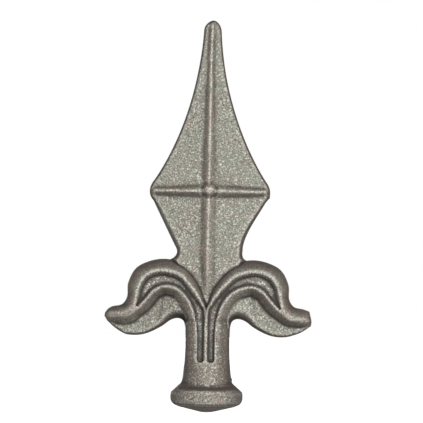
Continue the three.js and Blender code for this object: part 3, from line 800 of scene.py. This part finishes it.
class Form:
    """The spike as a signed field: negative inside, about the distance to its surface."""

    def __init__(self):
        height, grain, shade, inside = blade_maps()
        for side in (-1, 1):
            leaf_height, leaf_grain, leaf_shade, leaf_inside = leaf_maps(side)
            leaf_height = np.where(leaf_inside > -KEPT_OUTSIDE, leaf_height, 0)
            grain = np.where(leaf_height > height, leaf_grain, grain)
            shade = np.where(leaf_height > height, leaf_shade, shade)
            height = smooth_max(height, leaf_height, BLEND)
            inside = smooth_max(inside, leaf_inside, OUTLINE_BLEND)
        self.height, self.grain, self.shade, self.inside = height, grain, shade, inside
        self.steep = self.steepness(height)
        self.stem_table = self.stem_distances()
        self.channel_depth = channel_depth()
        self.channel = smooth_max(height, self.stem_height(), STEM_BLEND) - self.channel_depth
        self.channel_steep = self.steepness(np.minimum(self.channel, CHANNEL_CLEAR))

    @staticmethod
    def steepness(height):
        """Length of the gradient of a field whose surface lies at this height."""
        gx, gz = np.gradient(height, MAP_STEP)
        return np.sqrt(1 + gx**2 + gz**2)

    @staticmethod
    def stem_distances():
        """Distance to the stem's outline over radius and height, negative inside."""
        r = np.arange(0, STEM_TABLE_RADIUS, STEM_STEP)[:, None]
        z = np.arange(*STEM_TABLE_Z, STEM_STEP)[None, :]
        r, z = np.broadcast_arrays(r, z)
        return -polygon_distance(r, z, stem_outline())

    def stem_height(self):
        """Half thickness of the stem over the face."""
        x, z = map_axes()
        across = np.abs(x) / np.interp(z, RING_Z, RING_WIDTH)
        shoulder = by_side(0, x, CHEEK_SHOULDER)
        block = np.where(across < 1, np.clip(shoulder - across, 0, 1), 0)
        share = ramp(z, *CHEEK_Z)
        made = np.sqrt(np.clip(1 - across**2, 0, 1)) * (1 - share) + block * share
        return np.where(z < RING_Z[-1], np.interp(z, RING_Z, RING_DEPTH) * made, 0)

    def stem_field(self, x, y, z):
        depth_ratio = np.interp(z, RING_Z, RING_DEPTH / RING_WIDTH)
        r = section_radius(x, y / depth_ratio, z)
        return bilinear(self.stem_table, r / STEM_STEP, (z - STEM_TABLE_Z[0]) / STEM_STEP)

    def on_stem(self, points):
        return self.stem_field(*points.T) < STEM_REACH

    def combine(self, x, y, z, height, steep, inside, channel, channel_steep):
        """Relief and stem joined, with the channels taken out."""
        relief = np.maximum((np.abs(y) - height) / steep, -inside)
        stem = self.stem_field(x, y, z)
        both = -smooth_max(-relief, -stem, STEM_BLEND)
        return smooth_max(both, (np.abs(y) - channel) / channel_steep, CHANNEL_ROUNDING)

    def maps_at(self, x, z):
        maps = (self.height, self.steep, self.inside, self.channel, self.channel_steep)
        return [sample(m, x, z) for m in maps]

    def at(self, points):
        x, y, z = points.T
        return self.combine(x, y, z, *self.maps_at(x, z))

    def grid(self):
        """The field on a regular grid over the box."""
        counts = np.ceil((GRID_HIGH - GRID_LOW) / CELL).astype(int) + 1
        xs, ys, zs = (GRID_LOW[k] + CELL * np.arange(counts[k]) for k in range(3))
        x, z = np.meshgrid(xs, zs, indexing="ij")
        maps = self.maps_at(x, z)
        field = np.empty(counts, np.float32)
        for k, y in enumerate(ys):
            field[:, k, :] = self.combine(x, np.full(x.shape, y), z, *maps)
        return field


def surface_net(field):
    """One vertex in each cell that the surface crosses, and one quad on each edge it cuts."""
    inside = field < 0
    cells = tuple(n - 1 for n in field.shape)
    total = np.zeros(cells, np.uint8)
    for dx in (0, 1):
        for dy in (0, 1):
            for dz in (0, 1):
                total += inside[dx : dx + cells[0], dy : dy + cells[1], dz : dz + cells[2]]
    active = (total > 0) & (total < CELL_CORNERS)
    index = np.full(cells, -1, np.int64)
    count = int(active.sum())
    index[active] = np.arange(count)
    place = np.zeros((count, 3))
    hits = np.zeros(count)
    quads = []
    for axis in range(3):
        first = [slice(None)] * 3
        second = [slice(None)] * 3
        first[axis], second[axis] = slice(0, -1), slice(1, None)
        a, b = field[tuple(first)], field[tuple(second)]
        edge = np.argwhere((a < 0) != (b < 0))
        va, vb = a[tuple(edge.T)], b[tuple(edge.T)]
        cut = edge.astype(float)
        cut[:, axis] += va / (va - vb)
        u, v = (axis + 1) % 3, (axis + 2) % 3
        corners = []
        for du, dv in ((1, 1), (0, 1), (0, 0), (1, 0)):
            cell = edge.copy()
            cell[:, u] -= du
            cell[:, v] -= dv
            corner = index[tuple(cell.T)]
            corners.append(corner)
            hits += np.bincount(corner, minlength=count)
            for k in range(3):
                place[:, k] += np.bincount(corner, weights=cut[:, k], minlength=count)
        quad = np.stack(corners, 1)
        flip = va > 0
        quad[flip] = quad[flip][:, ::-1]
        quads.append(quad)
    place = GRID_LOW + CELL * place / hits[:, None]
    return place, np.concatenate(quads)


def settle(form, points):
    """Moves the points onto the surface."""
    for _ in range(SETTLE_ROUNDS):
        value = form.at(points)
        slope = np.empty_like(points)
        for k in range(3):
            ahead, behind = points.copy(), points.copy()
            ahead[:, k] += SETTLE_PROBE
            behind[:, k] -= SETTLE_PROBE
            slope[:, k] = (form.at(ahead) - form.at(behind)) / (2 * SETTLE_PROBE)
        size = np.maximum((slope**2).sum(1), LEAST_SLOPE)
        move = -(value / size)[:, None] * slope
        length = np.maximum(np.linalg.norm(move, axis=1), NEAR_ZERO)
        points = points + move * np.minimum(1, SETTLE_REACH * CELL / length)[:, None]
    return points


def neighbour_mean(values, quads):
    """Mean of the values at the neighbours of each point."""
    total = np.zeros_like(values)
    count = np.zeros(len(values))
    for k in range(4):
        a, b = quads[:, k], quads[:, (k + 1) % 4]
        for p, q in ((a, b), (b, a)):
            count += np.bincount(p, minlength=len(values))
            for axis in range(values.shape[1]):
                total[:, axis] += np.bincount(p, values[q, axis], len(values))
    return total / count[:, None]


def vertex_normals(points, quads):
    a, b, c, d = (points[quads[:, k]] for k in range(4))
    face = np.cross(c - a, d - b)
    total = np.zeros_like(points)
    for k in range(4):
        for axis in range(3):
            total[:, axis] += np.bincount(quads[:, k], face[:, axis], len(points))
    return total / np.linalg.norm(total, axis=1)[:, None]


def bulge(points, quads, normals):
    """How far each place stands out of its surroundings, in mm."""
    around = points
    for _ in range(BULGE_ROUNDS):
        around = neighbour_mean(around, quads)
    return ((points - around) * normals).sum(1)


def lattice_noise(points, spacing, seed):
    """Smooth noise from -1 to 1 with features about spacing wide."""
    rng = np.random.default_rng(seed)
    counts = np.ceil((NOISE_HIGH - NOISE_LOW) / spacing).astype(int) + 2
    values = rng.uniform(-1, 1, counts)
    u = (points - NOISE_LOW) / spacing
    i = np.floor(u).astype(int)
    f = u - i
    f = f * f * (3 - 2 * f)
    made = np.zeros(len(points))
    for dx in (0, 1):
        for dy in (0, 1):
            for dz in (0, 1):
                weight = np.where(dx, f[:, 0], 1 - f[:, 0]) * np.where(dy, f[:, 1], 1 - f[:, 1])
                weight *= np.where(dz, f[:, 2], 1 - f[:, 2])
                made += weight * values[i[:, 0] + dx, i[:, 1] + dy, i[:, 2] + dz]
    return made


def skin_lift(points, grain):
    """How far the unevenness of the skin and the burrs lift each point."""
    rough = sum(size * lattice_noise(points, gap, seed) for gap, size, seed in RELIEF_NOISE)
    lift = rough * (SMOOTH_SHARE + (1 - SMOOTH_SHARE) * grain)
    for spot, height, reach in BURRS:
        away = np.linalg.norm(points - np.array(spot), axis=1)
        lift += height * np.exp(-((away / reach) ** 2))
    return lift


def grain_at(form, points):
    """Where the surface keeps the grain of the mould: most on fields and floors, 0 on rims."""
    x, _, z = points.T
    value = sample(form.grain, x, z) * np.interp(z, TIP_SMOOTH_Z, (1, TIP_GRAIN))
    value = np.where(form.on_stem(points), STEM_GRAIN, value)
    in_channel = sample(form.channel_depth, x, z) > CHANNEL_FLOOR_SHARE * INNER_WALL["depth"]
    return np.where(in_channel, CHANNEL_GRAIN, value)


def worn_at(form, points, out, on_stem):
    """Where the skin is rubbed bright: on crests and on the boss, not at the outline."""
    x, _, z = points.T
    off_edge = np.where(on_stem, 1, ramp(sample(form.inside, x, z), *EDGE_KEEPS_SKIN))
    worn = np.clip(out / WORN_FULL, 0, 1) * off_edge
    low_rib = (np.abs(x) < LOW_RIB_REACH) & (z > LOW_RIB_Z[0])
    worn *= np.where(low_rib, np.interp(z, LOW_RIB_Z, (LOW_RIB_WORN, 1)), 1)
    return np.maximum(worn, np.clip(BOSS_WORN_RADIUS - np.hypot(x - BOSS_X, z - BOSS_Z), 0, 1))


def painted_hollow_shade_at(points, out, in_stem_channel):
    """Painted shade in hollows: where the skin is coloured dark in a concave place."""
    hollow = np.clip(-out / HOLLOW_SHADE_FULL, 0, 1)
    hollow *= np.where(in_stem_channel, CHANNEL_HOLLOW_SHADE, 1)
    hollow *= np.where(points[:, 2] > BLADE_FROM_Z, BLADE_HOLLOW_SHADE, 1)
    return hollow


def painted_slope_shade_at(form, points, normals, on_stem):
    """Painted shade on slopes: 1 where a slope is steep, less on the outer rims of the leaves."""
    start, full = STEEP_FROM
    steep = np.clip((start - np.abs(normals[:, 1])) / (start - full), 0, 1)
    shade = sample(form.shade, points[:, 0], points[:, 2])
    return steep * np.where(on_stem, STEM_SHADE, shade)


def skin_layers(form, points, normals, out, grain):
    """The layers that the steel reads, by name."""
    on_stem = form.on_stem(points)
    in_channel = sample(form.channel_depth, points[:, 0], points[:, 2]) > 0
    speckle = np.where(in_channel, CHANNEL_SPECKLE, np.where(on_stem, STEM_SPECKLE, grain))
    return {
        "grain": grain,
        "speckle": speckle,
        "worn": worn_at(form, points, out, on_stem),
        # The hollow and steep layers carry painted shade
        "hollow": painted_hollow_shade_at(points, out, on_stem & in_channel),
        "steep": painted_slope_shade_at(form, points, normals, on_stem),
    }


def make_mesh(name, points, quads):
    mesh = bpy.data.meshes.new(name)
    mesh.vertices.add(len(points))
    mesh.vertices.foreach_set("co", (points * MM).astype(np.float32).ravel())
    mesh.loops.add(len(quads) * 4)
    mesh.loops.foreach_set("vertex_index", quads.astype(np.int32).ravel())
    mesh.polygons.add(len(quads))
    mesh.polygons.foreach_set("loop_start", np.arange(0, len(quads) * 4, 4, dtype=np.int32))
    mesh.polygons.foreach_set("use_smooth", np.ones(len(quads), bool))
    mesh.update(calc_edges=True)
    mesh.validate()
    return mesh


def make_spike():
    form = Form()
    points, quads = surface_net(form.grid())
    points = settle(form, points)
    points = settle(form, points + EVENING * (neighbour_mean(points, quads) - points))
    normals = vertex_normals(points, quads)
    out = bulge(points, quads, normals)
    grain = grain_at(form, points)
    points = points + skin_lift(points, grain)[:, None] * normals
    mesh = make_mesh("forged_spike", points, quads)
    for name, values in skin_layers(form, points, normals, out, grain).items():
        layer = mesh.attributes.new(name, "FLOAT", "POINT")
        layer.data.foreach_set("value", values.astype(np.float32))
    piece = bpy.data.objects.new("forged_spike", mesh)
    bpy.context.scene.collection.objects.link(piece)
    return piece


class Nodes:
    """Short ways to add and join shader nodes."""

    def __init__(self, material):
        material.use_nodes = True
        self.tree = material.node_tree
        self.shader = self.tree.nodes["Principled BSDF"]

    def add(self, kind, inputs=(), **settings):
        node = self.tree.nodes.new(kind)
        for name, value in settings.items():
            setattr(node, name, value)
        for name, value in dict(inputs).items():
            self.put(value, node.inputs[name])
        return node

    def put(self, value, socket):
        if isinstance(value, bpy.types.NodeSocket):
            self.tree.links.new(value, socket)
        else:
            socket.default_value = value

    def layer(self, name):
        return self.add("ShaderNodeAttribute", attribute_name=name).outputs["Fac"]

    def noise(self, place, feature_mm, detail, roughness):
        made = self.add("ShaderNodeTexNoise", {
            "Vector": place,
            "Scale": 1 / (feature_mm * MM),
            "Detail": detail,
            "Roughness": roughness,
        })
        return made.outputs["Fac"]

    def product(self, a, b):
        node = self.add("ShaderNodeMath", operation="MULTIPLY")
        self.put(a, node.inputs[0])
        self.put(b, node.inputs[1])
        return node.outputs[0]

    def spread(self, value, levels, results=(0.0, 1.0)):
        """Straight from the first result to the second between two levels, and held beyond."""
        node = self.add("ShaderNodeMapRange", {
            "Value": value,
            "From Min": levels[0],
            "From Max": levels[1],
            "To Min": results[0],
            "To Max": results[1],
        })
        return node.outputs["Result"]

    def mix(self, share, a, b, blend="MIX"):
        node = self.add("ShaderNodeMix", data_type="RGBA", blend_type=blend)
        self.put(share, node.inputs[0])
        self.put(a, node.inputs[MIX_A])
        self.put(b, node.inputs[MIX_B])
        return node.outputs[MIX_RESULT]


def steel():
    material = bpy.data.materials.new("raw_forged_steel")
    n = Nodes(material)
    place = n.add("ShaderNodeTexCoord").outputs["Object"]
    grain, speckle, steep = n.layer("grain"), n.layer("speckle"), n.layer("steep")
    worn, hollow = n.layer("worn"), n.layer("hollow")
    fine, fleck = n.noise(place, *FINE_NOISE), n.noise(place, *FLECK_NOISE)
    cloud, mottle = n.noise(place, *CLOUD_NOISE), n.noise(place, *MOTTLE_NOISE)
    field = n.mix(n.spread(cloud, CLOUD_LEVELS), FIELD_GREEN, FIELD_WARM)
    skin = n.mix(n.spread(cloud, CLOUD_LEVELS), SKIN_WARM, SKIN_DARK)
    base = n.mix(grain, skin, field)
    pits = n.product(n.spread(fine, PIT_LEVELS), n.spread(speckle, (0, 1), PIT_SHARE))
    base = n.mix(pits, base, PIT_COLOUR)
    shine = n.product(n.spread(fleck, FLECK_LEVELS), n.spread(speckle, (0, 1), FLECK_SHARE))
    base = n.mix(shine, base, FLECK_COLOUR)
    # Painted shade: steep slopes are coloured dark by the steep layer
    slope = n.mix(n.spread(mottle, PAINTED_SLOPE_SHADE_LEVELS), PAINTED_SLOPE_SHADE_GREEN, PAINTED_SLOPE_SHADE_BROWN)
    base = n.mix(n.product(steep, PAINTED_SLOPE_SHADE_STRENGTH), base, slope)
    rubbed = n.product(worn, n.spread(fine, WORN_LEVELS, WORN_SHARE))
    base = n.mix(rubbed, base, WORN_COLOUR)
    # Painted shade: hollows and creases are coloured dark by the hollow layer
    base = n.mix(n.product(hollow, PAINTED_HOLLOW_SHADE_STRENGTH), base, PAINTED_HOLLOW_SHADE_COLOUR)
    patch = n.mix(n.spread(mottle, PATCH_LEVELS), PATCH_GREEN, PATCH_BROWN)
    n.put(n.mix(1.0, base, patch, "MULTIPLY"), n.shader.inputs["Base Color"])
    n.put(n.spread(fine, ROUGH_LEVELS, ROUGHNESS), n.shader.inputs["Roughness"])
    n.put(METALLIC, n.shader.inputs["Metallic"])
    bump = n.add("ShaderNodeBump", {
        "Height": fine,
        "Strength": n.spread(speckle, (0, 1), BUMP_SHARE),
        "Distance": BUMP_MM * MM,
    })
    n.put(bump.outputs["Normal"], n.shader.inputs["Normal"])
    return material


def make_camera():
    data = bpy.data.cameras.new("camera")
    data.sensor_width = SENSOR_MM
    data.lens = SENSOR_MM * CAMERA_DISTANCE_MM / PHOTO_WIDTH_MM
    camera = bpy.data.objects.new("camera", data)
    bpy.context.scene.collection.objects.link(camera)
    right = Vector((math.cos(CAMERA_ROLL), 0, math.sin(CAMERA_ROLL)))
    up = Vector((-math.sin(CAMERA_ROLL), 0, math.cos(CAMERA_ROLL)))
    back = Vector((0, -1, 0))
    turn = Matrix((right, up, back)).transposed().to_4x4()
    where = Vector((CAMERA_AIM[0], -CAMERA_DISTANCE_MM, CAMERA_AIM[1])) * MM
    camera.matrix_world = Matrix.Translation(where) @ turn
    bpy.context.scene.camera = camera


def area_light(name, where, size, power):
    data = bpy.data.lights.new(name, "AREA")
    data.shape = "DISK"
    data.size = size
    data.energy = power
    light = bpy.data.objects.new(name, data)
    light.location = where
    aim = Vector(LIGHT_AIM) - Vector(where)
    light.rotation_mode = "QUATERNION"
    light.rotation_quaternion = aim.to_track_quat("-Z", "Y")
    bpy.context.scene.collection.objects.link(light)
    return light


def make_floor():
    mesh = bpy.data.meshes.new("floor")
    x, y = FLOOR_HALF_SIZE
    corners = [(-x, -y, 0), (x, -y, 0), (x, y, 0), (-x, y, 0)]
    mesh.from_pydata(corners, [], [(0, 1, 2, 3)])
    floor = bpy.data.objects.new("floor", mesh)
    floor.location.z = -FLOOR_DROP
    floor.visible_diffuse = False
    floor.visible_glossy = False
    floor.visible_shadow = False
    bpy.context.scene.collection.objects.link(floor)
    material = bpy.data.materials.new("pale_floor")
    n = Nodes(material)
    n.put(FLOOR_COLOUR, n.shader.inputs["Base Color"])
    n.put(1.0, n.shader.inputs["Roughness"])
    n.put(WHITE, n.shader.inputs["Emission Color"])
    n.put(FLOOR_GLOW, n.shader.inputs["Emission Strength"])
    mesh.materials.append(material)


def make_stage():
    scene = bpy.context.scene
    scene.view_settings.view_transform = "Standard"
    world = bpy.data.worlds.new("studio")
    world.use_nodes = True
    backdrop = world.node_tree.nodes["Background"].inputs
    backdrop["Color"].default_value = WHITE
    backdrop["Strength"].default_value = BACKDROP_GLOW
    world.cycles_visibility.diffuse = False
    world.cycles_visibility.glossy = False
    scene.world = world
    for light in LIGHTS:
        area_light(*light)
    bounce = area_light("floor_bounce", (0, 0, -FLOOR_DROP / 2), BOUNCE_WIDTH, BOUNCE_POWER)
    bounce.visible_camera = False
    make_floor()


make_camera()
make_stage()
spike = make_spike()
spike.data.materials.append(steel())
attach(spike, "root")
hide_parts("fence_spike")
